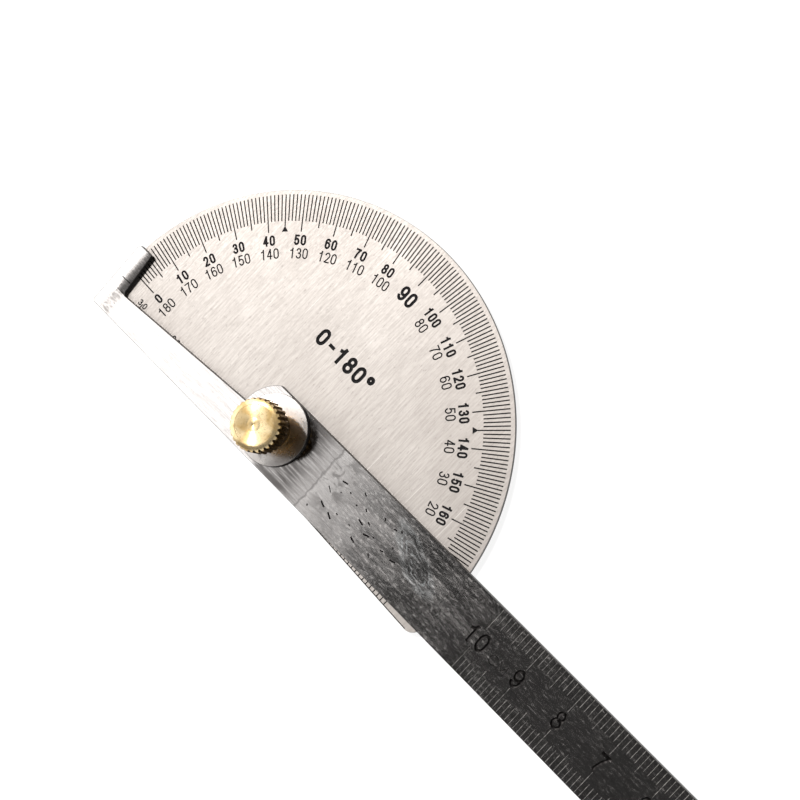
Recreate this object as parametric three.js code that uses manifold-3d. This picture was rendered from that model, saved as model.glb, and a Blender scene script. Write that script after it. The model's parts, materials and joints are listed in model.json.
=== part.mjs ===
// Semicircular steel protractor with a swinging ruler arm, clamped by a knurled brass nut.
// Millimetres, +Z up. The origin is on the pivot axis, at the flat underside of the stud's head.
// +X runs along the plate's base towards 180 degrees, +Y towards 90 degrees.

import * as THREE from 'three';
import { mergeVertices } from 'three/addons/utils/BufferGeometryUtils.js';
import Module from 'manifold-3d';

const wasm = await Module();
wasm.setup();

// ---- driving dimensions ----

const PLATE = {
  radius: 44.8,
  thickness: 1.0,
  baseBelowPivot: 7.0,
  cornerRadius: 2.0,
};

const ARM = {
  angle: 2.576, // degrees from the base line, in the stored pose
  width: 14.0,
  thickness: 1.4,
  axisAboveMiddle: 0.35, // the pivot hole sits this far above the strip's middle line
  zeroMark: 153.5, // from the pivot to the tip, where the ruler reads 0
  tailLength: 45.0, // from the pivot to the other end
  bossRadius: 8.2,
  tipCorner: 0.4,
  runningGap: 0.05, // clearance under the arm
};

const WINDOW = {
  wallAtTongue: -41.1, // the end bar's inner wall leans a little
  wallAtEdge: -41.7,
  tongueAtWall: -2.4, // height of the tongue's upper edge at the wall
  cornerRadius: 0.8,
  bevelStart: -43.0,
  bevelDrop: 0.45,
};

const STUD = {
  headRadius: 4.5,
  headThickness: 0.8,
  headChamfer: 0.25,
  shankRadius: 2.0,
  length: 9.3,
  tipChamfer: 0.3,
};

const WASHER = {
  radius: 6.75,
  thickness: 0.9,
  edgeChamfer: 0.1,
};

const NUT = {
  height: 9.2,
  crestRadius: 4.95,
  rootRadius: 4.55,
  topRadius: 3.8,
  rimRadius: 4.5, // the smooth rim between the top face and the ridges
  rimDrop: 0.3,
  shoulderDrop: 0.9, // from the top face down to full crest radius
  bandLength: 4.85, // knurled head, from the top face down
  bandChamfer: 0.3,
  neckRadius: 3.45,
  footChamfer: 0.25,
  ridges: 28,
  firstGroove: -5.5, // degrees
  boreDepth: 7.4,
};

const CLEARANCE = {
  stakedHole: 0.03, // stud in the plate
  pivotHole: 0.08, // stud in the arm
  washerHole: 0.15,
  nutBore: 0.05,
  face: 0.02, // between faces that rest on each other
};

// ---- levels, from the bottom up ----

const plateBottom = STUD.headThickness + CLEARANCE.face;
const plateTop = plateBottom + PLATE.thickness;
const armBottom = plateTop + ARM.runningGap;
const armTop = armBottom + ARM.thickness;
const washerBottom = armTop + CLEARANCE.face;
const washerTop = washerBottom + WASHER.thickness;
const nutBottom = washerTop + CLEARANCE.face;

// ---- helpers ----

const radians = THREE.MathUtils.degToRad;
const FULL_TURN = Math.PI * 2;
const ROUND_STEPS = 64;

function solidOf(geometry) {
  const bare = geometry.index ? geometry.toNonIndexed() : geometry.clone();
  bare.deleteAttribute('normal');
  bare.deleteAttribute('uv');
  const merged = mergeVertices(bare, 1e-5);
  return new wasm.Manifold(new wasm.Mesh({
    numProp: 3,
    vertProperties: new Float32Array(merged.attributes.position.array),
    triVerts: new Uint32Array(merged.index.array),
  }));
}

function geometryOf(solid) {
  const mesh = solid.getMesh();
  const geometry = new THREE.BufferGeometry();
  geometry.setAttribute('position', new THREE.BufferAttribute(new Float32Array(mesh.vertProperties), 3));
  geometry.setIndex(new THREE.BufferAttribute(new Uint32Array(mesh.triVerts), 1));
  geometry.computeVertexNormals();
  return geometry;
}

// A profile of [radius, height] pairs, turned about the Z axis.
function turned(profile) {
  const points = profile.map(([radius, height]) => new THREE.Vector2(radius, height));
  const geometry = new THREE.LatheGeometry(points, ROUND_STEPS);
  geometry.rotateX(Math.PI / 2);
  return geometry;
}

function slab(shape, bottom, thickness, curveSegments) {
  const geometry = new THREE.ExtrudeGeometry(shape, { depth: thickness, bevelEnabled: false, curveSegments });
  geometry.translate(0, 0, bottom);
  return geometry;
}

function roundHole(radius) {
  const hole = new THREE.Path();
  hole.absarc(0, 0, radius, 0, FULL_TURN, true);
  return hole;
}

function metal(color, roughness) {
  return new THREE.MeshStandardMaterial({ color, roughness, metalness: 1.0 });
}

function named(name, geometry, material) {
  const mesh = new THREE.Mesh(geometry, material);
  mesh.name = name;
  return mesh;
}

// ---- the half-round plate ----

function protractorPlate() {
  const { radius, baseBelowPivot, cornerRadius } = PLATE;
  const cornerX = radius - cornerRadius;
  const cornerY = cornerRadius - baseBelowPivot;
  const outline = new THREE.Shape();
  outline.moveTo(-cornerX, -baseBelowPivot);
  outline.lineTo(cornerX, -baseBelowPivot);
  outline.absarc(cornerX, cornerY, cornerRadius, -Math.PI / 2, 0);
  outline.lineTo(radius, 0);
  outline.absarc(0, 0, radius, 0, Math.PI);
  outline.lineTo(-radius, cornerY);
  outline.absarc(-cornerX, cornerY, cornerRadius, Math.PI, Math.PI * 1.5);
  outline.holes.push(roundHole(STUD.shankRadius + CLEARANCE.stakedHole));
  return named('protractor_plate', slab(outline, plateBottom, PLATE.thickness, 48), metal(0xd9d0c8, 0.35));
}

// ---- the ruler arm: blade, boss, tongue and index bar in one strip ----

function armOutline() {
  const top = ARM.width / 2 - ARM.axisAboveMiddle;
  const bottom = top - ARM.width;
  const tail = -ARM.tailLength;
  const bossAngle = Math.asin(top / ARM.bossRadius);
  const corner = ARM.tipCorner;
  const outline = new THREE.Shape();
  outline.moveTo(tail + corner, bottom);
  outline.lineTo(ARM.zeroMark - corner, bottom);
  outline.lineTo(ARM.zeroMark, bottom + corner);
  outline.lineTo(ARM.zeroMark, top - corner);
  outline.lineTo(ARM.zeroMark - corner, top);
  outline.lineTo(-Math.cos(bossAngle) * ARM.bossRadius, top);
  outline.absarc(0, 0, ARM.bossRadius, Math.PI - bossAngle, Math.PI);
  outline.lineTo(WINDOW.wallAtTongue + WINDOW.cornerRadius, WINDOW.tongueAtWall);
  outline.quadraticCurveTo(
    WINDOW.wallAtTongue, WINDOW.tongueAtWall,
    WINDOW.wallAtTongue, WINDOW.tongueAtWall + WINDOW.cornerRadius,
  );
  outline.lineTo(WINDOW.wallAtEdge, top);
  outline.lineTo(tail + corner, top);
  outline.lineTo(tail, top - corner);
  outline.lineTo(tail, bottom + corner);
  outline.closePath();
  outline.holes.push(roundHole(STUD.shankRadius + CLEARANCE.pivotHole));
  return outline;
}

// A long wedge that planes the end bar down towards the window.
function bevelCutter() {
  const rise = 1.0;
  const run = WINDOW.wallAtTongue - WINDOW.bevelStart;
  const slope = WINDOW.bevelDrop / run;
  const side = new THREE.Shape();
  side.moveTo(WINDOW.bevelStart, armTop);
  side.lineTo(WINDOW.bevelStart + run * 1.5, armTop - slope * run * 1.5);
  side.lineTo(WINDOW.bevelStart + run * 1.5, armTop + rise);
  side.lineTo(WINDOW.bevelStart, armTop + rise);
  side.closePath();
  const height = ARM.width;
  const geometry = new THREE.ExtrudeGeometry(side, { depth: height, bevelEnabled: false });
  geometry.rotateX(Math.PI / 2);
  geometry.translate(0, WINDOW.tongueAtWall + height, 0);
  return solidOf(geometry);
}

function rulerArm() {
  const strip = solidOf(slab(armOutline(), armBottom, ARM.thickness, 24));
  return named('ruler_arm', geometryOf(strip.subtract(bevelCutter())), metal(0x9a9693, 0.3));
}

// ---- the stud, staked into the plate from behind ----

function pivotStud() {
  const { headRadius, headThickness, headChamfer, shankRadius, length, tipChamfer } = STUD;
  const profile = [
    [0, 0],
    [headRadius - headChamfer, 0],
    [headRadius, headChamfer],
    [headRadius, headThickness],
    [shankRadius, headThickness],
    [shankRadius, length - tipChamfer],
    [shankRadius - tipChamfer, length],
    [0, length],
  ];
  return named('pivot_stud', turned(profile), metal(0xb9b5b0, 0.35));
}

// ---- the clamping washer ----

function clampWasher() {
  const hole = STUD.shankRadius + CLEARANCE.washerHole;
  const { radius, edgeChamfer } = WASHER;
  const profile = [
    [hole, washerBottom],
    [radius, washerBottom],
    [radius, washerTop - edgeChamfer],
    [radius - edgeChamfer, washerTop],
    [hole, washerTop],
    [hole, washerBottom],
  ];
  return named('clamp_washer', turned(profile), metal(0xcfc9c4, 0.22));
}

// ---- the brass thumb nut: plain neck, knurled head, blind bore ----

function nutProfile() {
  const bore = STUD.shankRadius + CLEARANCE.nutBore;
  const top = nutBottom + NUT.height;
  const bandBottom = top - NUT.bandLength;
  return [
    [0, nutBottom + NUT.boreDepth],
    [bore, nutBottom + NUT.boreDepth],
    [bore, nutBottom],
    [NUT.neckRadius - NUT.footChamfer, nutBottom],
    [NUT.neckRadius, nutBottom + NUT.footChamfer],
    [NUT.neckRadius, bandBottom],
    [NUT.crestRadius - NUT.bandChamfer, bandBottom],
    [NUT.crestRadius, bandBottom + NUT.bandChamfer],
    [NUT.crestRadius, top - NUT.shoulderDrop],
    [NUT.rimRadius, top - NUT.rimDrop],
    [NUT.topRadius, top],
    [0, top],
  ];
}

// Everything outside the ridged outline, along the knurled head.
function knurlSleeve() {
  const stepsPerRidge = 8;
  const steps = NUT.ridges * stepsPerRidge;
  const depth = NUT.crestRadius - NUT.rootRadius;
  const ridged = [];
  for (let step = 0; step < steps; step += 1) {
    const turn = FULL_TURN * step / steps;
    const groove = (1 + Math.cos(turn * NUT.ridges)) / 2;
    const radius = NUT.crestRadius + 0.01 - depth * groove;
    const angle = turn + radians(NUT.firstGroove);
    ridged.push(new THREE.Vector2(Math.cos(angle) * radius, Math.sin(angle) * radius));
  }
  const sleeve = new THREE.Shape();
  sleeve.absarc(0, 0, NUT.crestRadius + 1, 0, FULL_TURN);
  sleeve.holes.push(new THREE.Path(ridged.reverse()));
  const overrun = 0.1;
  const bottom = nutBottom + NUT.height - NUT.bandLength - overrun;
  return solidOf(slab(sleeve, bottom, NUT.bandLength + overrun * 2, 32));
}

function thumbNut() {
  const body = solidOf(turned(nutProfile()));
  return named('thumb_nut', geometryOf(body.subtract(knurlSleeve())), metal(0xc8a24c, 0.25));
}

// ---- the assembly ----

const protractor = new THREE.Group();
const swingingArm = new THREE.Group();
swingingArm.rotation.z = radians(ARM.angle);
swingingArm.add(rulerArm());
protractor.add(protractorPlate(), pivotStud(), swingingArm, clampWasher(), thumbNut());

export default protractor;
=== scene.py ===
"""The looks of a steel protractor: its plate, ruler arm, stud, washer and brass thumb nut.

The floor, light and camera follow them. Lengths are millimetres until a mesh is made, in the frame of the
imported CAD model: the origin is on the pivot axis under the stud's head, +X runs to 180 degrees, +Y to 90
degrees and +Z out of the graduated face. The arm is drawn along its own length, with the pivot at 0 and its
tip at the far right, and then turned into place.
"""

import json
import math
import random

import bmesh
import bpy
import numpy as np
from mathutils import Matrix, Vector
from mathutils.geometry import delaunay_2d_cdt


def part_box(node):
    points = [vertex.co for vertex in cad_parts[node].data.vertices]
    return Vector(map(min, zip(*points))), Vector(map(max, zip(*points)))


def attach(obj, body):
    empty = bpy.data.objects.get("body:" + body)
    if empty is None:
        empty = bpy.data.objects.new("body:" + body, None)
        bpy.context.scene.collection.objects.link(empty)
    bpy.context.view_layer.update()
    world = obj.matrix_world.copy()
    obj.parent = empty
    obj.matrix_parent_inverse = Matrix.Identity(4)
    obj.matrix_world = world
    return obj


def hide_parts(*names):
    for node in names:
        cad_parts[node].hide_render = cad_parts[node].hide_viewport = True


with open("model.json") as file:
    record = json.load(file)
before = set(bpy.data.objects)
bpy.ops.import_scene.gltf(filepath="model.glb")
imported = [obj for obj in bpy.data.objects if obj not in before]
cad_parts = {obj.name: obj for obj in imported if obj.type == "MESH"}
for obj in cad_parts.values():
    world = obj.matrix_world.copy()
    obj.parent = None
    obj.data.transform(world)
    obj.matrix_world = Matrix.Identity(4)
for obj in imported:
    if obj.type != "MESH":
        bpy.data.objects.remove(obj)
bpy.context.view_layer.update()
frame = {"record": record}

MM = 0.001
SMOOTH_ANGLE = math.radians(22)
random.seed(7)

# ---- driving dimensions, in millimetres and degrees ----

PLATE_CORNER = 2.0
PLATE_CHAMFER = 0.06
PLATE_GROOVE_SLOPE = 0.25  # how steep the sides of its marks are
STUD_HOLE = 2.03

DEGREE_RADIUS = 44.0  # the outer end of every degree line
DEGREE_ENDS = {1: 39.0, 5: 38.0, 10: 37.0}  # the inner ends of ones, fives and tens
DEGREE_LINE = 0.24
POINTER_ANGLES = (45, 135)
POINTER_TIP = 38.1
POINTER_BASE = 37.0
POINTER_WIDTH = 1.25
OUTER_NUMERALS = {"radius": 35.45, "height": 2.0, "pitch": 1.3, "stroke": 0.39}
INNER_NUMERALS = {"radius": 32.95, "height": 2.0, "pitch": 1.28, "stroke": 0.26}
RIGHT_ANGLE_NUMERAL = {"radius": 34.2, "height": 3.0, "pitch": 1.95, "stroke": 0.56}
TITLE = {"text": "0-180°", "at": (0.0, 18.0), "height": 3.4, "pitch": 2.5, "stroke": 0.68}

BASE_SCALE_START = 7.0  # the 0 of each half of the base's scale, from the pivot
BASE_SCALE_LENGTH = 30
BASE_TICKS = {1: 2.0, 5: 3.0, 10: 4.0}
BASE_LINE = 0.22
BASE_NUMERAL_Y = -3.0
BASE_NUMERALS = {"height": 1.25, "pitch": 0.95, "stroke": 0.23}
BASE_NUMERAL_SHIFT = 0.62  # its two digits stand this far left and right of their line
BASE_EDGE_LINE = 0.16

ARM_WIDTH = 14.0
ARM_HOLE = 2.08
ARM_CHAMFER = 0.08
ARM_GROOVE_SLOPE = 0.45
ARM_TIP = 153.5  # the ruler's 0
ARM_TAIL = -45.0
ARM_CORNER = 0.4
BOSS_RADIUS = 8.2
WINDOW_AT_TONGUE = (-41.1, -2.4)
WINDOW_AT_EDGE = -41.7
WINDOW_FILLET = 0.8
BEVEL_START = -43.0
BEVEL_DROP = 0.45
BEVEL_RAMP = 0.05
BEVEL_BENDS = 6

RULER_LENGTH = 100
RULER_TICKS = {1: 3.0, 5: 4.0, 10: 5.0}
RULER_LINE = 0.2
RULER_NUMERALS = {"height": 3.6, "pitch": 2.6, "stroke": 0.58}
RULER_MIDDLE = -0.4
UNIT_LETTERS = {"height": 1.9, "pitch": 2.1, "stroke": 0.16}

DENTS = 24
DENTS_FROM = 13.8  # from the pivot
DENTS_REACH = 19.0
DARK_LINE_AT = 13.2
SMUDGE_AT = (15.5, 1.5)
STAIN_AT = (36.4, 1.1)
STAIN_STRETCH = (0.30, 1.0)
STAIN_TURN = math.radians(-23)

STUD_SHANK = 2.0
STUD_TIP_CHAMFER = 0.3
HEAD_GAP = 0.02  # between the stud's head and the plate

WASHER_HOLE = 2.15
WASHER_DOME = 0.14  # how much lower its rim is than its middle
WASHER_DOME_STEPS = 9

NUT_RIDGES = 28
NUT_FIRST_GROOVE = -5.5
NUT_CREST = 4.95
NUT_ROOT = 4.53
NUT_RIM = 4.6
NUT_TOP = 3.8
NUT_BAND = 4.85
NUT_NECK = 3.45
NUT_BORE = 2.05
NUT_BORE_DEPTH = 7.4
NUT_RIM_STEPS = 10
NUT_STEPS_PER_RIDGE = 12

LATHE_MARK_TURN = 0.21  # in turns, from the direction round the axis

SOFTBOX_AZIMUTH = 190
SOFTBOX_ELEVATION = 25
SOFTBOX_INNER = 42.5  # full strength within this many degrees of its middle
SOFTBOX_OUTER = 49.3
SOFTBOX_STRENGTH = 1.65
HORIZON_STRENGTH = 0.42
OVERHEAD_STRENGTH = 0.03
SUN_AZIMUTH = 168
SUN_ELEVATION = 60
SUN_STRENGTH = 1.7
SUN_WIDTH = math.radians(4)
FLOOR_HALF = 9.0  # metres

LENS = 86.70
CAMERA_TARGET = (12.6, 20.4, 1.82)
CAMERA_DISTANCE = 345.3
CAMERA_AZIMUTH = 25.73
CAMERA_ELEVATION = 70.68
CAMERA_ROLL = -70.10

# ---- where the CAD model puts things ----


def node_box(node):
    low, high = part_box(node)
    return low / MM, high / MM


plate_low, plate_high = node_box("protractor_plate")
arm_low, arm_high = node_box("ruler_arm")
stud_low, stud_high = node_box("pivot_stud")
washer_low, washer_high = node_box("clamp_washer")
nut_low, nut_high = node_box("thumb_nut")

blade_edge = next(m for m in frame["record"]["mounts"] if m["name"] == "blade_edge")
edge_normal = Vector(blade_edge["axis"])
ARM_ANGLE = math.atan2(edge_normal.x, -edge_normal.y)
ARM_BOTTOM_EDGE = -Vector(blade_edge["pos_m"]).dot(edge_normal) / MM
ARM_TOP_EDGE = ARM_BOTTOM_EDGE + ARM_WIDTH

# ---- outlines ----


def arc(centre, radii, start, end, steps):
    """Points on an ellipse round centre, from start to end in degrees."""
    turns = [math.radians(start + (end - start) * i / steps) for i in range(steps + 1)]
    return [(centre[0] + radii[0] * math.cos(t), centre[1] + radii[1] * math.sin(t)) for t in turns]


def curve(start, control, end, steps):
    """Points on a quadratic curve."""
    points = []
    for i in range(steps + 1):
        t = i / steps
        weights = ((1 - t) ** 2, 2 * t * (1 - t), t * t)
        points.append(tuple(sum(w * p[k] for w, p in zip(weights, (start, control, end))) for k in (0, 1)))
    return points


def circle(radius, steps=72):
    return arc((0, 0), (radius, radius), 0, 360, steps)[:-1]


def plate_outline():
    """The half-round plate, counter-clockwise from the left end of its base."""
    radius = plate_high.y
    base = plate_low.y
    corner = (PLATE_CORNER, PLATE_CORNER)
    side = radius - PLATE_CORNER
    right = arc((side, base + PLATE_CORNER), corner, -90, 0, 10)
    bow = arc((0, 0), (radius, radius), 0, 180, 240)
    left = arc((-side, base + PLATE_CORNER), corner, 180, 270, 10)
    return right + bow + left


def arm_outline():
    """Blade, boss, tongue and end bar in one strip, counter-clockwise from the tail's lower corner."""
    low, high = ARM_BOTTOM_EDGE, ARM_TOP_EDGE
    boss_start = math.degrees(math.asin(high / BOSS_RADIUS))
    wall, tongue = WINDOW_AT_TONGUE
    points = [(ARM_TAIL + ARM_CORNER, low), (ARM_TIP - ARM_CORNER, low)]
    points += [(ARM_TIP, low + ARM_CORNER), (ARM_TIP, high - ARM_CORNER), (ARM_TIP - ARM_CORNER, high)]
    points += arc((0, 0), (BOSS_RADIUS, BOSS_RADIUS), 180 - boss_start, 180, 16)
    points += curve((wall + WINDOW_FILLET, tongue), (wall, tongue), (wall, tongue + WINDOW_FILLET), 8)
    points += [(WINDOW_AT_EDGE, high), (BEVEL_START, high)]
    points += [(ARM_TAIL + ARM_CORNER, high), (ARM_TAIL, high - ARM_CORNER), (ARM_TAIL, low + ARM_CORNER)]
    return points


def moved_inwards(points, distance):
    """A closed counter-clockwise outline, moved inwards by the same distance all round."""
    corners = [Vector(p) for p in points]
    result = []
    for i, here in enumerate(corners):
        before = (here - corners[i - 1]).normalized()
        after = (corners[(i + 1) % len(corners)] - here).normalized()
        normals = Vector((-before.y, before.x)), Vector((-after.y, after.x))
        mitre = (normals[0] + normals[1]).normalized()
        result.append(here + mitre * (distance / max(0.3, mitre.dot(normals[0]))))
    return result


# ---- pen strokes: numerals, letters and lines, each a list of points ----


def oval(centre, radii, steps=22):
    """A closed loop with straight sides and round ends, as in a printed 0."""
    x, y = centre
    cap = min(radii[1], radii[0] * 1.25)
    side = radii[1] - cap
    top = arc((x, y + side), (radii[0], cap), 0, 180, steps // 2)
    end = arc((x, y - side), (radii[0], cap), 180, 360, steps // 2)
    loop = top + (end if side > 1e-6 else end[1:-1])
    return loop + loop[:1]


def turned_over(strokes):
    return [[(-x, -y) for x, y in points] for points in strokes]


def letter_strokes(a, b):
    """The strokes of each character that fills the box from (-a, -b) to (a, b)."""
    cap = min(b, 1.25 * a)
    hook = arc((0, b - cap), (a, cap), 30, 180, 12)
    six = [oval((0, -0.38 * b), (a, 0.62 * b)), hook + [(-a, -0.3 * b)]]
    return {
        "0": [oval((0, 0), (a, b))],
        "1": [[(0.15 * a, -b), (0.15 * a, b)], curve((-0.75 * a, 0.55 * b), (0, 0.6 * b), (0.15 * a, b), 4)],
        "2": [arc((0, 0.45 * b), (0.95 * a, 0.55 * b), 168, -20, 14)
              + curve((0.8 * a, 0.15 * b), (0.4 * a, -0.2 * b), (-0.9 * a, -0.95 * b), 6),
              [(-0.9 * a, -b), (a, -b)]],
        "3": [arc((0, 0.53 * b), (0.85 * a, 0.47 * b), 160, -90, 14),
              arc((0, -0.47 * b), (a, 0.53 * b), 90, -162, 16)],
        "4": [[(0.3 * a, b), (-a, -0.4 * b)],
              [(-a, -0.45 * b), (a, -0.45 * b)],
              [(0.4 * a, b), (0.4 * a, -b)]],
        "5": [[(-0.7 * a, b), (0.85 * a, b)], [(-0.7 * a, b), (-0.88 * a, 0)],
              arc((-0.03 * a, -0.36 * b), (a, 0.64 * b), 146, -158, 16)],
        "6": six,
        "7": [[(-a, b), (a, b)], curve((0.9 * a, b), (-0.2 * a, 0.1 * b), (-0.4 * a, -b), 8)],
        "8": [oval((0, 0.51 * b), (0.85 * a, 0.49 * b), 20), oval((0, -0.46 * b), (a, 0.54 * b), 20)],
        "9": turned_over(six),
        "-": [[(-0.5 * a, -0.05 * b), (0.5 * a, -0.05 * b)]],
        "°": [oval((-0.1 * a, 0.64 * b), (0.62 * a, 0.36 * b), 16)],
        "C": [arc((0, 0), (a, b), 48, 312, 18)],
        "M": [[(-a, -b), (-a, b)], [(-a, b), (0, -0.5 * b)], [(0, -0.5 * b), (a, b)], [(a, b), (a, -b)]],
    }


def written(text, height, pitch, stroke, at, turn=0.0):
    """The strokes of a text, with their width, centred at a point and turned by an angle in radians."""
    half_width = pitch * 0.42 - stroke / 2
    half_height = (height - stroke) / 2
    shapes = letter_strokes(half_width, half_height)
    place = Matrix.Rotation(turn, 2)
    marks = []
    for i, character in enumerate(text):
        shift = (i - (len(text) - 1) / 2) * pitch
        for points in shapes[character]:
            marks.append(([tuple(place @ Vector((x + shift, y)) + Vector(at)) for x, y in points], stroke))
    return marks


def tick(start, end, width):
    """A straight line whose square ends are exactly at two points."""
    start, end = Vector(start), Vector(end)
    inset = (end - start).normalized() * width / 2
    return [tuple(start + inset), tuple(end - inset)], width


def tick_kind(number):
    return 10 if number % 10 == 0 else 5 if number % 5 == 0 else 1


# ---- the marks of the plate and of the arm ----


def on_circle(radius, degrees):
    """A point of the protractor's scale, which runs clockwise from 0 at -X."""
    turn = math.radians(180 - degrees)
    return radius * math.cos(turn), radius * math.sin(turn)


def written_round(text, degrees, radius, height, pitch, stroke):
    """A numeral whose top faces outwards."""
    return written(text, height, pitch, stroke, on_circle(radius, degrees), math.radians(90 - degrees))


def degree_marks():
    marks = []
    for degrees in range(181):
        inner = DEGREE_ENDS[tick_kind(degrees)]
        if degrees in POINTER_ANGLES:
            inner = POINTER_TIP - 0.1
        marks.append(tick(on_circle(inner, degrees), on_circle(DEGREE_RADIUS, degrees), DEGREE_LINE))
    for degrees in range(0, 181, 10):
        if degrees == 90:
            marks += written_round("90", 90, **RIGHT_ANGLE_NUMERAL)
            continue
        marks += written_round(str(degrees), degrees, **OUTER_NUMERALS)
        marks += written_round(str(180 - degrees), degrees, **INNER_NUMERALS)
    return marks


def base_marks():
    """A fine line along the base, and a millimetre scale on each half of it, counted outwards."""
    base = plate_low.y + PLATE_CHAMFER + 0.02
    end = plate_high.x - PLATE_CORNER
    edge = base + 0.06
    marks = [tick((-end, edge), (end, edge), BASE_EDGE_LINE)]
    for side in (-1, 1):
        for number in range(BASE_SCALE_LENGTH + 1):
            x = side * (BASE_SCALE_START + number)
            top = plate_low.y + BASE_TICKS[tick_kind(number)]
            marks.append(tick((x, base), (x, top), BASE_LINE))
            if number % 10 == 0:
                for digit, shift in zip(f"{number:>2}", (-BASE_NUMERAL_SHIFT, BASE_NUMERAL_SHIFT)):
                    if digit != " ":
                        marks += written(digit, at=(x + shift, BASE_NUMERAL_Y), **BASE_NUMERALS)
    return marks


def pointers():
    """The solid triangles below the 45 and 135 degree lines."""
    triangles = []
    for degrees in POINTER_ANGLES:
        half = math.degrees(POINTER_WIDTH / 2 / POINTER_BASE)
        triangles.append([on_circle(POINTER_BASE, degrees - half), on_circle(POINTER_TIP, degrees),
                          on_circle(POINTER_BASE, degrees + half)])
    return triangles


def ruler_marks():
    """Millimetre lines along both edges, and the centimetre numbers, counted from the tip."""
    reach = ARM_CHAMFER + 0.02
    marks = []
    for number in range(1, RULER_LENGTH + 1):
        u = ARM_TIP - number
        length = RULER_TICKS[tick_kind(number)]
        marks.append(tick((u, ARM_BOTTOM_EDGE + reach), (u, ARM_BOTTOM_EDGE + length), RULER_LINE))
        marks.append(tick((u, ARM_TOP_EDGE - length), (u, ARM_TOP_EDGE - reach), RULER_LINE))
        if number % 10 == 0:
            marks += written(str(number // 10), at=(u, RULER_MIDDLE), **RULER_NUMERALS)
    unit_at = (ARM_TIP - RULER_LENGTH + 5.75, RULER_MIDDLE - 0.75)
    return marks + written("CM", at=unit_at, **UNIT_LETTERS)


def index_mark():
    """The line on the end bar's bevel that the angle is read against."""
    return [tick((BEVEL_START - 0.4, 0.0), (WINDOW_AT_TONGUE[0] - 0.25, 0.0), 0.2)]


def dents():
    """Small dark knocks along the blade beside the boss, most of them slanting down towards the tip."""
    marks = []
    for i in range(DENTS):
        u = DENTS_FROM + DENTS_REACH * (i + random.random()) / DENTS
        v = -4.6 + 8.8 * ((i * 0.618) % 1.0) + random.uniform(-1.1, 1.1)
        length = random.choice((0.08, 0.15, 0.3, 0.5, 0.9))
        slope = random.uniform(-0.9, 0.3)
        width = random.uniform(0.18, 0.36)
        marks.append(([(u, v), (u + length, v + length * slope)], width))
    return marks


# ---- mesh making ----


def ribbon(points, width):
    """Left, middle and right points at each stop of a stroke, which reaches half a width past its ends."""
    stops = [Vector(p) for p in points]
    closed = points[0] == points[-1]
    if not closed:
        stops.insert(0, stops[0] + (stops[0] - stops[1]).normalized() * width / 2)
        stops.append(stops[-1] + (stops[-1] - stops[-2]).normalized() * width / 2)
    rows = []
    for i, here in enumerate(stops):
        before = stops[i - 1] if i else (stops[-2] if closed else None)
        after = stops[i + 1] if i + 1 < len(stops) else (stops[1] if closed else None)
        arriving = (here - before).normalized() if before else None
        leaving = (after - here).normalized() if after else arriving
        arriving = arriving or leaving
        along = (arriving + leaving).normalized()
        across = Vector((-along.y, along.x))
        reach = width / 2 / max(0.6, along.dot(leaving))
        rows.append((here + across * reach, here, here - across * reach))
    return rows


def area_of(points):
    """The area inside a loop, positive if it runs counter-clockwise."""
    return sum(a.x * b.y - a.y * b.x for a, b in zip(points, points[1:] + points[:1])) / 2


def is_convex(loop):
    sides = [b - a for a, b in zip(loop, loop[1:] + loop[:1])]
    return all(a.x * b.y - a.y * b.x > 0 for a, b in zip(sides, sides[1:] + sides[:1]))


def groove_depths(points, marks, slope):
    """How deep a V-shaped groove along the strokes is at each point."""
    starts = np.array([p for line, _ in marks for p in line[:-1]])
    ends = np.array([p for line, _ in marks for p in line[1:]])
    halves = np.array([width / 2 for line, width in marks for _ in line[1:]])
    spans = ends - starts
    depths = []
    for point in points:
        offset = np.array(point) - starts
        share = np.clip((offset * spans).sum(1) / np.maximum((spans * spans).sum(1), 1e-12), 0, 1)
        distance = np.hypot(*(offset - spans * share[:, None]).T)
        depths.append(slope * float(np.max(np.maximum(halves - distance, 0))))
    return depths


def loops_of(triangles):
    """The edge loops of a set of triangles, each with the metal on its left."""
    following = {}
    edges = {(a, b) for t in triangles for a, b in zip(t, t[1:] + t[:1])}
    for a, b in edges:
        if (b, a) not in edges:
            following[a] = b
    loops = []
    while following:
        start, here = following.popitem()
        loop = [start]
        while here != start:
            loop.append(here)
            here = following.pop(here)
        loops.append(loop)
    return loops


def cut_into_triangles(outline, holes, marks=(), patches=(), creases=()):
    """Triangles of a flat sheet. Returns points, triangles, and whether each triangle is part of a mark."""
    points, faces, edges = [], [], []

    def add(loop):
        loop = [Vector(p) for p in loop]
        first = len(points)
        points.extend(loop if area_of(loop) > 0 else loop[::-1])
        faces.append(list(range(first, len(points))))

    add(outline)
    for hole in holes:
        add(hole)
    first_mark = len(faces)
    for patch in patches:
        add(patch)
    for line, width in marks:
        rows = ribbon(line, width)
        for a, b in zip(rows, rows[1:]):
            for half in ([a[1], b[1], b[0], a[0]], [a[2], b[2], b[1], a[1]]):
                for shape in ([half] if is_convex(half) else [half[:3], [half[0], half[2], half[3]]]):
                    if area_of(shape) > 1e-7:
                        add(shape)
    for start, end in creases:
        edges.append((len(points), len(points) + 1))
        points.extend((Vector(start), Vector(end)))
    flat, _, cells, _, _, sources = delaunay_2d_cdt(points, edges, faces, 0, 1e-5, True)
    triangles, marked = [], []
    for cell, source in zip(cells, sources):
        if 0 in source and not any(1 <= s <= len(holes) for s in source):
            triangles.append(list(cell))
            marked.append(any(s >= first_mark for s in source))
    return flat, triangles, marked


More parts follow.
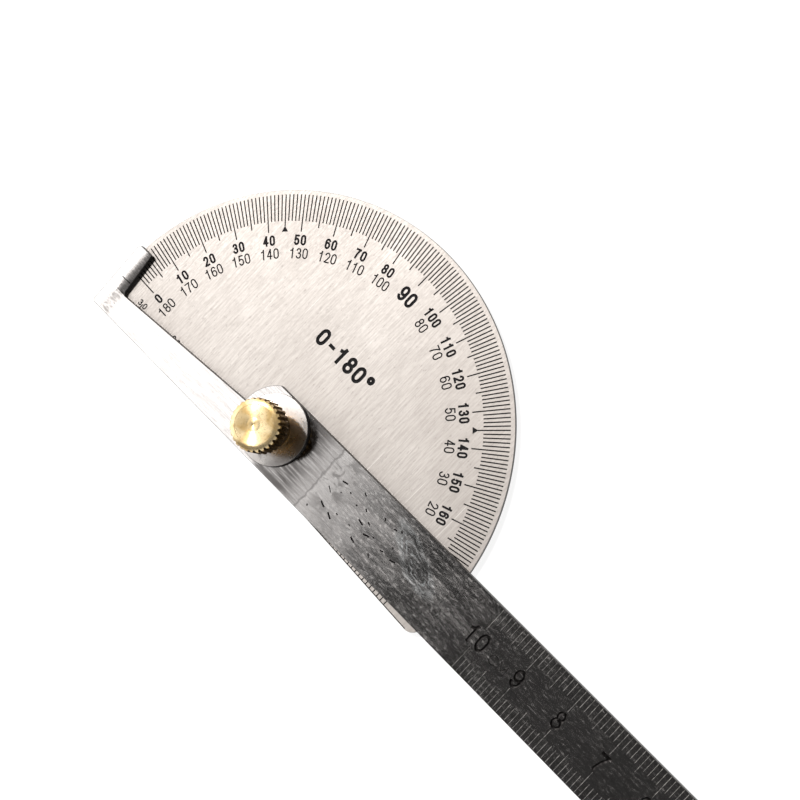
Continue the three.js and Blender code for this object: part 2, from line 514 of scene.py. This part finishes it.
def outward_steps(flat, loop):
    """For each corner of a loop, the step of one unit away from the metal."""
    steps = []
    for i, here in enumerate(loop):
        before = (flat[here] - flat[loop[i - 1]]).normalized()
        after = (flat[loop[(i + 1) % len(loop)]] - flat[here]).normalized()
        normals = Vector((before.y, -before.x)), Vector((after.y, -after.x))
        mitre = (normals[0] + normals[1]).normalized()
        steps.append(mitre / max(0.3, mitre.dot(normals[0])))
    return steps


def sheet(name, outline, holes, bottom, top, chamfer, marks, slope,
          patches=(), creases=(), drop=None, rim_slot=0):
    """A plate of metal with chamfered edges and V-shaped grooves. Material slots: face, marks, walls."""
    outline = moved_inwards(outline, chamfer)
    holes = [circle(radius + chamfer) for radius in holes]
    flat, triangles, marked = cut_into_triangles(outline, holes, marks, patches, creases)
    drop = drop or (lambda x, y: 0.0)
    depths = groove_depths(flat, marks, slope)
    mesh = bmesh.new()

    def vertex(x, y, z):
        return mesh.verts.new((x * MM, y * MM, z * MM))

    upper = [vertex(p.x, p.y, top - drop(p.x, p.y) - d) for p, d in zip(flat, depths)]
    for corners, is_mark in zip(triangles, marked):
        mesh.faces.new([upper[i] for i in corners]).material_index = int(is_mark)
    rims = []
    for loop in loops_of(triangles):
        steps = outward_steps(flat, loop)
        rim = [flat[i] for i in loop]
        wide = [p + s * chamfer for p, s in zip(rim, steps)]
        rings = [[upper[i] for i in loop],
                 [vertex(p.x, p.y, top - chamfer - drop(q.x, q.y)) for p, q in zip(wide, rim)],
                 [vertex(p.x, p.y, bottom + chamfer) for p in wide],
                 [vertex(p.x, p.y, bottom) for p in rim]]
        for over, under, material_slot in zip(rings, rings[1:], (rim_slot, 2, 0)):
            for i in range(len(loop)):
                j = (i + 1) % len(loop)
                mesh.faces.new((over[i], under[i], under[j], over[j])).material_index = material_slot
        rims.append((rim, rings[-1]))
    add_underside(mesh, rims)
    return finished(name, mesh)


def add_underside(mesh, rims):
    """Closes a sheet below, between its rims."""
    rims.sort(key=lambda r: -area_of(r[0]))
    points = [p for rim, _ in rims for p in rim]
    corners = [v for _, ring in rims for v in ring]
    faces, first = [], 0
    for rim, _ in rims:
        order = list(range(first, first + len(rim)))
        faces.append(order if area_of(rim) > 0 else order[::-1])
        first += len(rim)
    _, _, cells, originals, _, sources = delaunay_2d_cdt(points, [], faces, 0, 1e-7, True)
    for cell, source in zip(cells, sources):
        if source == [0]:
            mesh.faces.new([corners[originals[i][0]] for i in reversed(cell)])


def finished(name, mesh):
    """An object from a bmesh, smooth except where faces meet at an angle or a finish ends."""
    mesh.normal_update()
    for face in mesh.faces:
        face.smooth = True
    for edge in mesh.edges:
        faces = edge.link_faces
        if len(faces) == 2:
            same = faces[0].material_index == faces[1].material_index
            edge.smooth = same and edge.calc_face_angle(0.0) < SMOOTH_ANGLE
    data = bpy.data.meshes.new(name)
    mesh.to_mesh(data)
    mesh.free()
    piece = bpy.data.objects.new(name, data)
    bpy.context.scene.collection.objects.link(piece)
    return piece


def turned(name, profile, steps, shaped=None):
    """A solid of revolution round Z from (radius, height) pairs, which go up the outside.
    shaped(radius, height, angle) may change the radius."""
    mesh = bmesh.new()
    rings = []
    for radius, height in profile:
        if radius == 0:
            rings.append([mesh.verts.new((0, 0, height * MM))])
            continue
        ring = []
        for step in range(steps):
            turn = 2 * math.pi * step / steps
            reach = shaped(radius, height, turn) if shaped else radius
            x, y = reach * math.cos(turn), reach * math.sin(turn)
            ring.append(mesh.verts.new((x * MM, y * MM, height * MM)))
        rings.append(ring)
    pairs = list(zip(rings, rings[1:]))
    if profile[0][0] and profile[-1][0]:
        pairs.append((rings[-1], rings[0]))
    for under, over in pairs:
        for i in range(steps):
            j = (i + 1) % steps
            if len(under) == 1:
                mesh.faces.new((under[0], over[j], over[i]))
            elif len(over) == 1:
                mesh.faces.new((under[i], under[j], over[0]))
            else:
                mesh.faces.new((under[i], under[j], over[j], over[i]))
    return finished(name, mesh)


# ---- the five pieces ----


def make_plate():
    marks = degree_marks() + base_marks() + written(**TITLE)
    return sheet("plate", plate_outline(), [STUD_HOLE], plate_low.z, plate_high.z, PLATE_CHAMFER,
                 marks, PLATE_GROOVE_SLOPE, patches=pointers())


def bevel_drop(u, v):
    """How far the end bar is rounded off towards the window."""
    wall, tongue = WINDOW_AT_TONGUE
    if u > wall + WINDOW_FILLET or v <= tongue:
        return 0.0
    share = max(0.0, (u - BEVEL_START) / (wall - BEVEL_START))
    return BEVEL_DROP * share ** 1.8 * min(1.0, (v - tongue) / BEVEL_RAMP)


def bevel_creases():
    wall, tongue = WINDOW_AT_TONGUE
    ramp_top = tongue + BEVEL_RAMP
    creases = [((BEVEL_START, tongue), (wall + WINDOW_FILLET / 2, tongue)),
               ((BEVEL_START, ramp_top), (wall + WINDOW_FILLET / 3, ramp_top))]
    for i in range(BEVEL_BENDS):
        u = BEVEL_START + (WINDOW_AT_EDGE - BEVEL_START) * i / BEVEL_BENDS
        creases.append(((u, tongue), (u, ARM_TOP_EDGE - ARM_CHAMFER)))
    return creases


def make_arm():
    marks = ruler_marks() + index_mark() + dents()
    arm = sheet("arm", arm_outline(), [ARM_HOLE], arm_low.z, arm_high.z, ARM_CHAMFER,
                marks, ARM_GROOVE_SLOPE, creases=bevel_creases(), drop=bevel_drop, rim_slot=2)
    arm.rotation_euler.z = ARM_ANGLE
    return arm


def make_stud():
    """The pivot stud. Its low turned head shows on the back."""
    head = stud_high.x
    head_top = plate_low.z - HEAD_GAP
    tip = stud_high.z
    profile = [(0, 0.12), (0.35, 0.12), (0.7, 0.0)]
    profile += [(head - 0.3, 0.0), (head - 0.08, 0.1), (head, 0.3), (head, head_top)]
    profile += [(STUD_SHANK, head_top), (STUD_SHANK, tip - STUD_TIP_CHAMFER)]
    profile += [(STUD_SHANK - STUD_TIP_CHAMFER, tip), (0, tip)]
    return turned("stud", profile, 96)


def make_washer():
    """The clamping washer, whose top is slightly domed."""
    outer = washer_high.x
    low, high = washer_low.z, washer_high.z
    rim = high - WASHER_DOME
    profile = [(WASHER_HOLE, low), (outer - 0.08, low), (outer, low + 0.08)]
    profile += [(outer, rim - 0.12), (outer - 0.04, rim - 0.04)]
    dome_outer, dome_inner = outer - 0.12, WASHER_HOLE + 0.1
    for i in range(WASHER_DOME_STEPS + 1):
        radius = dome_outer - (dome_outer - dome_inner) * i / WASHER_DOME_STEPS
        profile.append((radius, high - WASHER_DOME * (radius / outer) ** 2))
    profile.append((WASHER_HOLE, high - 0.1))
    washer = turned("washer", profile, 128)
    # The side wall takes the near-black edge finish: painted shade for the dark rim of the washer.
    for face in washer.data.polygons:
        face.material_index = int(abs(face.normal.z) < 0.5)
    return washer


def ridged_radius(radius, height, turn):
    """The knurled band: straight rounded ridges with narrow grooves between them."""
    if height < nut_high.z - NUT_BAND - 0.01:
        return radius
    wave = math.cos((turn - math.radians(NUT_FIRST_GROOVE)) * NUT_RIDGES)
    groove = max(0.0, (wave + 0.35) / 1.35) ** 0.8
    return min(radius, NUT_CREST - (NUT_CREST - NUT_ROOT) * groove)


def nut_profile():
    """Down the bore, up the neck and the knurled band, over the rim and across the top to its centre."""
    top = nut_high.z
    foot = nut_low.z
    band = top - NUT_BAND
    bore_end = foot + NUT_BORE_DEPTH
    profile = [(0, bore_end), (NUT_BORE, bore_end), (NUT_BORE, foot)]
    profile += [(NUT_NECK - 0.25, foot), (NUT_NECK, foot + 0.25)]
    profile += [(NUT_NECK, band - 0.15), (NUT_NECK + 0.15, band)]
    profile += [(NUT_CREST - 0.4, band), (NUT_CREST - 0.3, band), (NUT_CREST - 0.1, band + 0.2)]
    profile += [(NUT_CREST, band + 0.35), (NUT_CREST, band + 1.8), (NUT_CREST, top - 1.4)]
    for i in range(NUT_RIM_STEPS + 1):
        share = i / NUT_RIM_STEPS
        bulge = 0.06 * math.sin(math.pi * share)
        profile.append((NUT_CREST + (NUT_RIM - NUT_CREST) * share + bulge, top - 0.9 + 0.6 * share))
    profile += [(NUT_RIM - 0.06, top - 0.24), (NUT_RIM - 0.3, top - 0.12), (NUT_TOP + 0.12, top - 0.02)]
    profile += [(NUT_TOP, top), (NUT_TOP - 0.08, top), (NUT_TOP - 0.13, top - 0.03), (NUT_TOP - 0.18, top)]
    profile += [(1.35, top), (1.25, top - 0.015), (1.15, top)]
    profile += [(0.3, top - 0.005), (0.16, top - 0.04), (0, top - 0.08)]
    return profile


def make_nut():
    nut = turned("nut", nut_profile(), NUT_RIDGES * NUT_STEPS_PER_RIDGE, ridged_radius)
    # The ridges and neck take the darker brass of the second slot: painted shade.
    for face in nut.data.polygons:
        face.material_index = int(face.normal.z < 0.5)
    return nut


# ---- materials ----


class Finish:
    """A material, with short calls to add and join its nodes. Positions are in the piece's own frame."""

    def __init__(self, name):
        self.material = bpy.data.materials.new(name)
        self.material.use_nodes = True
        self.tree = self.material.node_tree
        self.shader = self.tree.nodes["Principled BSDF"]
        self.place = self.node("ShaderNodeTexCoord").outputs["Object"]

    def node(self, kind, inputs=None, **settings):
        made = self.tree.nodes.new(kind)
        for key, value in settings.items():
            setattr(made, key, value)
        for key, value in (inputs or {}).items():
            self.join(value, made.inputs[key])
        return made

    def join(self, value, socket):
        if isinstance(value, bpy.types.NodeSocket):
            self.tree.links.new(value, socket)
        else:
            socket.default_value = value

    def set(self, **values):
        for key, value in values.items():
            self.join(value, self.shader.inputs[key.replace("_", " ")])

    def noise(self, per_mm, detail=2.0, warp=0.0):
        """Noise from 0 to 1 with that many waves per millimetre along x, y and z."""
        scaled = self.node("ShaderNodeMapping", {"Vector": self.place, "Scale": [n / MM for n in per_mm]})
        made = self.node("ShaderNodeTexNoise",
                         {"Vector": scaled.outputs[0], "Scale": 1.0, "Detail": detail, "Distortion": warp})
        return made.outputs["Fac"]

    def remap(self, value, low, high, to_low=0.0, to_high=1.0):
        """A value that eases from to_low to to_high as another goes from low to high."""
        ends = {"From Min": low, "From Max": high, "To Min": to_low, "To Max": to_high}
        made = self.node("ShaderNodeMapRange", {"Value": value, **ends}, interpolation_type="SMOOTHSTEP")
        return made.outputs["Result"]

    def maths(self, operation, a, b=0.0):
        return self.node("ShaderNodeMath", {0: a, 1: b}, operation=operation).outputs[0]

    def chained(self, operation, first, *others):
        for other in others:
            first = self.maths(operation, first, other)
        return first

    def product(self, *values):
        return self.chained("MULTIPLY", *values)

    def total(self, *values):
        return self.chained("ADD", *values)

    def most(self, *values):
        return self.chained("MAXIMUM", *values)

    def blend(self, share, first, second):
        """A colour between two, each an (r, g, b) or a socket."""
        made = self.node("ShaderNodeMix", data_type="RGBA")
        for value, socket in ((share, made.inputs[0]), (first, made.inputs[6]), (second, made.inputs[7])):
            self.join((*value, 1.0) if isinstance(value, tuple) else value, socket)
        return made.outputs[2]

    def along(self, axis="X"):
        """Distance in millimetres along one of the piece's own axes."""
        parts = self.node("ShaderNodeSeparateXYZ", {"Vector": self.place})
        return self.product(parts.outputs[axis], 1 / MM)

    def distance_to(self, x, y, stretch=(1.0, 1.0), turn=0.0):
        """Millimetres from a point of the piece. A stretch and a turn make its circles into ellipses."""
        scale = (stretch[0] / MM, stretch[1] / MM, 0)
        ends = {0: self.place, 1: (x * MM, y * MM, 0)}
        shifted = self.node("ShaderNodeVectorMath", ends, operation="SUBTRACT").outputs[0]
        spin = {"Vector": shifted, "Angle": -turn}
        turned_back = self.node("ShaderNodeVectorRotate", spin, rotation_type="Z_AXIS").outputs[0]
        scaled = self.node("ShaderNodeVectorMath", {0: turned_back, 1: scale}, operation="MULTIPLY")
        return self.node("ShaderNodeVectorMath", {0: scaled.outputs[0]}, operation="LENGTH").outputs["Value"]

    def bump(self, height, depth):
        """A surface relief of that depth in millimetres."""
        made = self.node("ShaderNodeBump", {"Height": height, "Distance": depth * MM, "Strength": 1.0})
        return made.outputs["Normal"]


def satin_steel():
    """The plate's face: bright steel with fine hairlines across the base line, and a few scratches."""
    f = Finish("satin_plate_steel")
    hairs = f.noise((3.4, 0.22, 0.5), 5.0)
    finer = f.noise((9.0, 1.2, 0.5), 2.0)
    cloud = f.noise((0.05, 0.05, 0.05), 3.0, 0.4)
    tint = f.blend(f.remap(cloud, 0.35, 0.65), (0.425, 0.398, 0.377), (0.475, 0.448, 0.426))
    tint = f.blend(f.remap(hairs, 0.3, 0.7, 0.0, 0.6), tint, (0.32, 0.295, 0.277))
    flecks = f.remap(f.noise((2.6, 0.9, 0.5), 2.0), 0.63, 0.72)
    tint = f.blend(f.product(flecks, 0.35), tint, (0.20, 0.185, 0.175))
    scratches = f.remap(f.noise((3.2, 0.035, 0.5), 1.0, 0.2), 0.74, 0.77)
    tint = f.blend(f.product(scratches, 0.35), tint, (0.80, 0.78, 0.76))
    relief = f.total(f.product(hairs, 0.7), f.product(finer, 0.3))
    f.set(Base_Color=tint, Metallic=1.0, Roughness=f.remap(finer, 0.3, 0.7, 0.42, 0.54))
    f.set(Normal=f.bump(relief, 0.012))
    return f.material


def black_ink():
    """Paint in the plate's etched marks, thin here and there."""
    f = Finish("black_filled_marks")
    worn = f.remap(f.noise((1.4, 1.4, 1.0), 3.0), 0.55, 0.75)
    f.set(Base_Color=f.blend(worn, (0.006, 0.006, 0.007), (0.022, 0.020, 0.019)), Roughness=0.7)
    f.set(Specular_IOR_Level=0.2)
    return f.material


def cut_edge(name, tone):
    """A sheared edge, ground across its thickness, coloured near-black as painted shade: it stands in for the
    shade and dark reflections on the walls.
    """
    f = Finish(name)
    grain = f.noise((2.0, 2.0, 0.8), 3.0)
    light = tuple(c * 1.5 for c in tone)
    f.set(Base_Color=f.blend(f.remap(grain, 0.3, 0.7), tone, light), Metallic=1.0, Roughness=0.5)
    f.set(Normal=f.bump(grain, 0.01))
    return f.material


def water_stain(f, finer, mottle):
    """A dried puddle on the blade. Returns 1 inside it and 0 outside, and the strength of its pale rings."""
    wander = f.product(f.noise((0.14, 0.25, 0.1), 2.0), 3.0)
    from_middle = f.total(f.distance_to(*STAIN_AT, STAIN_STRETCH, STAIN_TURN), wander)
    ripple = f.maths("SINE", f.product(from_middle, 13.0))
    inside = f.remap(from_middle, 2.9, 3.7, 1.0, 0.0)
    rings = f.product(f.remap(ripple, -0.2, 1.0), inside, f.remap(mottle, 0.35, 0.6))
    rim = f.product(f.remap(from_middle, 2.9, 3.3), f.remap(from_middle, 3.4, 3.9, 1.0, 0.0))
    return inside, f.most(rings, f.product(rim, f.remap(finer, 0.3, 0.6, 0.2, 0.7)))


def blade_dirt(f, lines, mottle, grains):
    """How much the arm is darkened: painted shade beside the nut, strongest by the boss and fading out at a
    soft dark line across the blade, that line itself, a smudge, and painted shade, mottled, on the end bar's
    bevel.
    """
    along = f.along()
    wavering = f.total(along, f.product(mottle, 1.5))
    # A soft dark line across the blade.
    dark_line = f.product(f.remap(wavering, DARK_LINE_AT - 0.5, DARK_LINE_AT),
                         f.remap(wavering, DARK_LINE_AT, DARK_LINE_AT + 0.5, 1.0, 0.0), 0.6)
    # Painted shade: the blade is darkened beside the nut, strongest by the boss and fading out at the dark
    # line.
    nut_shade = f.product(f.remap(wavering, BOSS_RADIUS - 0.2, DARK_LINE_AT, 0.95, 0.3),
                        f.remap(wavering, DARK_LINE_AT, DARK_LINE_AT + 0.3, 1.0, 0.0),
                        f.remap(along, 0.0, 2.0), f.remap(lines, 0.3, 0.6, 0.6, 1.0))
    near_smudge = f.remap(f.distance_to(*SMUDGE_AT, (0.8, 0.4)), 1.4, 3.4, 0.45, 0.0)
    smudge = f.product(f.remap(mottle, 0.48, 0.6), near_smudge)
    wall = WINDOW_AT_TONGUE[0]
    # Painted shade on the end bar's bevel, mottled by the grains.
    on_bevel = f.product(f.remap(along, BEVEL_START - 0.2, BEVEL_START + 0.5),
                         f.remap(along, wall, wall + 1, 1.0, 0.0))
    bevel_shade = f.product(f.remap(grains, 0.35, 0.65, 0.35, 0.8), on_bevel)
    return f.most(dark_line, nut_shade, smudge, bevel_shade)


def blade_roughness(f, lines, grains, stain):
    """Nearly polished, duller in its scratches, grains, clouds and stain, and dull on the end bar's bevel."""
    along = f.along()
    cloud = f.noise((0.07, 0.14, 0.1), 3.0, 0.8)
    wall = WINDOW_AT_TONGUE[0]
    past_start = f.remap(along, BEVEL_START, BEVEL_START + 0.3)
    on_bevel = f.maths("SUBTRACT", past_start, f.remap(along, wall, wall + 1))
    return f.total(f.remap(lines, 0.34, 0.68, 0.08, 0.14), f.remap(grains, 0.48, 0.75, 0.0, 0.09),
                   f.remap(cloud, 0.5, 0.7, 0.0, 0.04), f.product(stain, 0.05), f.product(on_bevel, 0.28))


def blade_steel():
    """The arm's face: polished along its length, with worn patches, a dried water stain, a smudge and a soft
    dark line across it, and painted shade beside the nut and on the end bar's bevel.
    """
    f = Finish("polished_blade_steel")
    lines = f.noise((0.16, 2.6, 0.5), 5.0)
    finer = f.noise((0.6, 5.0, 0.5), 3.0)
    mottle = f.noise((0.45, 0.6, 0.5), 5.0, 0.6)
    grains = f.noise((1.1, 2.6, 1.0), 4.0)
    inside, stain = water_stain(f, finer, mottle)
    tint = f.blend(f.remap(lines, 0.32, 0.66), (0.82, 0.80, 0.79), (0.68, 0.655, 0.645))
    tint = f.blend(f.remap(finer, 0.42, 0.66, 0.0, 0.35), tint, (0.52, 0.495, 0.485))
    tint = f.blend(f.remap(mottle, 0.5, 0.72, 0.0, 0.35), tint, (0.52, 0.50, 0.49))
    tint = f.blend(f.product(inside, 0.4), tint, (0.40, 0.41, 0.42))
    tint = f.blend(f.product(stain, 0.45), tint, (0.76, 0.82, 0.84))
    # Dirt and painted shade: a smudge, a dark line, and painted shade beside the nut and on the end bar's
    # bevel.
    tint = f.blend(blade_dirt(f, lines, mottle, grains), tint, (0.13, 0.123, 0.12))
    relief = f.total(f.product(lines, 0.6), f.product(finer, 0.4))
    f.set(Base_Color=tint, Metallic=1.0, Roughness=blade_roughness(f, lines, grains, stain))
    f.set(Normal=f.bump(relief, 0.008))
    return f.material


def dark_grooves():
    """Black filling in the arm's lettering, dents and index line. The ruler's lines are bare, dull metal."""
    f = Finish("dark_engraved_marks")
    grime = f.remap(f.noise((1.8, 1.8, 1.0), 3.0), 0.3, 0.7)
    filled = f.blend(grime, (0.010, 0.009, 0.009), (0.035, 0.033, 0.032))
    bare = f.blend(grime, (0.19, 0.182, 0.174), (0.055, 0.053, 0.051))
    off_middle = f.maths("ABSOLUTE", f.maths("SUBTRACT", f.along("Y"), RULER_MIDDLE))
    is_line = f.product(f.remap(off_middle, 2.0, 2.2), f.remap(f.along(), 50.0, 51.0))
    f.set(Base_Color=f.blend(is_line, filled, bare), Metallic=1.0, Roughness=0.34)
    return f.material


def rubbed_brass():
    """The nut's ridges and neck: brass tinted darker than the top as painted shade, for the shade on its
    sides, and browner where the metal is tarnished.
    """
    f = Finish("rubbed_brass")
    tarnish = f.noise((0.5, 0.5, 0.35), 4.0, 0.5)
    grain = f.noise((3.0, 3.0, 1.2), 3.0)
    # Painted shade: both ends of this tint are darker than the brass of the top, to stand in for the shade on
    # the ridges and neck.
    tint = f.blend(f.remap(tarnish, 0.35, 0.7), (0.52, 0.33, 0.12), (0.20, 0.11, 0.035))
    f.set(Base_Color=tint, Metallic=1.0, Roughness=f.remap(tarnish, 0.3, 0.7, 0.16, 0.26))
    f.set(Normal=f.bump(grain, 0.006))
    return f.material


def turned_metal(name, dark, light, roughness, rings_per_mm, ring_depth, anisotropic=0.0):
    """Metal faced on a lathe: rings round the axis, a little tarnish and fine specks."""
    f = Finish(name)
    ring_place = f.node("ShaderNodeCombineXYZ", {"X": f.product(f.distance_to(0, 0), rings_per_mm)})
    ring_noise = {"Vector": ring_place.outputs[0], "Scale": 1.0, "Detail": 3.0}
    rings = f.node("ShaderNodeTexNoise", ring_noise).outputs["Fac"]
    tarnish = f.noise((0.35, 0.35, 0.35), 4.0, 0.5)
    specks = f.noise((2.6, 2.6, 2.6), 4.0)
    tint = f.blend(f.remap(tarnish, 0.35, 0.7), light, dark)
    tint = f.blend(f.remap(specks, 0.5, 0.75, 0.0, 0.5), tint, tuple(c * 0.6 for c in dark))
    spread = f.remap(tarnish, 0.3, 0.7, roughness * 0.85, roughness * 1.2)
    f.set(Base_Color=tint, Metallic=1.0, Roughness=spread, Normal=f.bump(rings, ring_depth))
    f.set(Anisotropic=anisotropic, Anisotropic_Rotation=LATHE_MARK_TURN)
    tangent = f.node("ShaderNodeTangent", direction_type="RADIAL", axis="Z")
    f.set(Tangent=tangent.outputs[0])
    return f.material


def stud_steel():
    return turned_metal("stud_steel", (0.48, 0.46, 0.44), (0.64, 0.62, 0.60), 0.30, 14, 0.01, 0.5)


def washer_steel():
    return turned_metal("washer_steel", (0.46, 0.44, 0.43), (0.66, 0.635, 0.615), 0.30, 9, 0.004)


def nut_brass():
    return turned_metal("nut_brass", (0.62, 0.42, 0.17), (0.92, 0.74, 0.44), 0.30, 10, 0.004, 0.80)


def pale_table():
    """A matt surface that glows almost white by itself, so that the backdrop stays white."""
    f = Finish("pale_table")
    grain = f.noise((0.02, 0.02, 0.02), 2.0)
    f.set(Base_Color=f.blend(grain, (0.24, 0.24, 0.24), (0.27, 0.27, 0.27)), Roughness=1.0)
    f.set(Emission_Color=(1.0, 1.0, 1.0, 1.0), Emission_Strength=0.86, Specular_IOR_Level=0.0)
    return f.material


def dress(piece, body, node, materials):
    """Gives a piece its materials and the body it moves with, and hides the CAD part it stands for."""
    for material in materials:
        piece.data.materials.append(material)
    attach(piece, body)
    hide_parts(node)


# ---- floor, light and camera ----


def make_floor():
    """A pale table top that runs out of sight."""
    mesh = bmesh.new()
    square = ((-1, -1), (1, -1), (1, 1), (-1, 1))
    mesh.faces.new([mesh.verts.new((x * FLOOR_HALF, y * FLOOR_HALF, 0.0)) for x, y in square])
    floor = finished("floor", mesh)
    floor.data.materials.append(pale_table())


def direction(azimuth, elevation):
    """A unit vector, with the azimuth in degrees counter-clockwise from +X."""
    a, e = math.radians(azimuth), math.radians(elevation)
    return Vector((math.cos(e) * math.cos(a), math.cos(e) * math.sin(a), math.sin(e)))


def make_world():
    """A wide soft light beyond the arm's tail, grey near the horizon, and dark overhead behind the camera."""
    world = bpy.data.worlds.new("studio")
    world.use_nodes = True
    bpy.context.scene.world = world
    tree = world.node_tree
    place = tree.nodes.new("ShaderNodeTexCoord").outputs["Generated"]

    def brightness(towards, start, end, low, high):
        """Eases from low to high as the cosine of the angle from a direction goes from start to end."""
        cosine = tree.nodes.new("ShaderNodeVectorMath")
        cosine.operation = "DOT_PRODUCT"
        cosine.inputs[1].default_value = towards
        tree.links.new(place, cosine.inputs[0])
        shade = tree.nodes.new("ShaderNodeMapRange")
        shade.interpolation_type = "SMOOTHSTEP"
        for name, value in (("From Min", start), ("From Max", end), ("To Min", low), ("To Max", high)):
            shade.inputs[name].default_value = value
        tree.links.new(cosine.outputs["Value"], shade.inputs["Value"])
        return shade.outputs["Result"]

    softbox_at = direction(SOFTBOX_AZIMUTH, SOFTBOX_ELEVATION)
    outer, inner = (math.cos(math.radians(angle)) for angle in (SOFTBOX_OUTER, SOFTBOX_INNER))
    softbox = brightness(softbox_at, outer, inner, 0.0, SOFTBOX_STRENGTH)
    surroundings = brightness(Vector((0, 0, 1)), 0.45, 0.85, HORIZON_STRENGTH, OVERHEAD_STRENGTH)
    strength = tree.nodes.new("ShaderNodeMath")
    tree.links.new(softbox, strength.inputs[0])
    tree.links.new(surroundings, strength.inputs[1])
    background = tree.nodes["Background"]
    tree.links.new(strength.outputs[0], background.inputs["Strength"])
    background.inputs["Color"].default_value = (1.0, 0.985, 0.97, 1.0)


def make_key_light():
    light = bpy.data.lights.new("key", "SUN")
    light.energy = SUN_STRENGTH
    light.angle = SUN_WIDTH
    light.color = (1.0, 0.97, 0.94)
    lamp = bpy.data.objects.new("key", light)
    lamp.rotation_euler = direction(SUN_AZIMUTH, SUN_ELEVATION).to_track_quat("Z", "Y").to_euler()
    bpy.context.scene.collection.objects.link(lamp)


def make_camera():
    lens = bpy.data.cameras.new("camera")
    lens.lens = LENS
    lens.sensor_width = 36.0
    lens.clip_start = 0.01
    lens.clip_end = 40.0
    camera = bpy.data.objects.new("camera", lens)
    back = direction(CAMERA_AZIMUTH, CAMERA_ELEVATION)
    level = Vector((0, 0, 1)).cross(back).normalized()
    right = Matrix.Rotation(math.radians(CAMERA_ROLL), 3, back) @ level
    up = back.cross(right)
    place = (Vector(CAMERA_TARGET) + back * CAMERA_DISTANCE) * MM
    camera.matrix_world = Matrix.Translation(place) @ Matrix((right, up, back)).transposed().to_4x4()
    bpy.context.scene.collection.objects.link(camera)
    bpy.context.scene.camera = camera


# ---- everything together ----

# The edge finishes are near-black as painted shade, standing in for the shade and dark reflections on the
# walls of the plate, arm and washer.
plate_edge = cut_edge("plate_edge_painted_shade", (0.07, 0.066, 0.063))
arm_edge = cut_edge("blade_edge_painted_shade", (0.09, 0.087, 0.085))
dress(make_plate(), "head", "protractor_plate", [satin_steel(), black_ink(), plate_edge])
dress(make_arm(), "arm", "ruler_arm", [blade_steel(), dark_grooves(), arm_edge])
dress(make_stud(), "head", "pivot_stud", [stud_steel()])
dress(make_washer(), "washer", "clamp_washer", [washer_steel(), plate_edge])
dress(make_nut(), "nut", "thumb_nut", [nut_brass(), rubbed_brass()])

make_floor()
make_world()
make_key_light()
make_camera()
bpy.context.scene.view_settings.view_transform = "Standard"
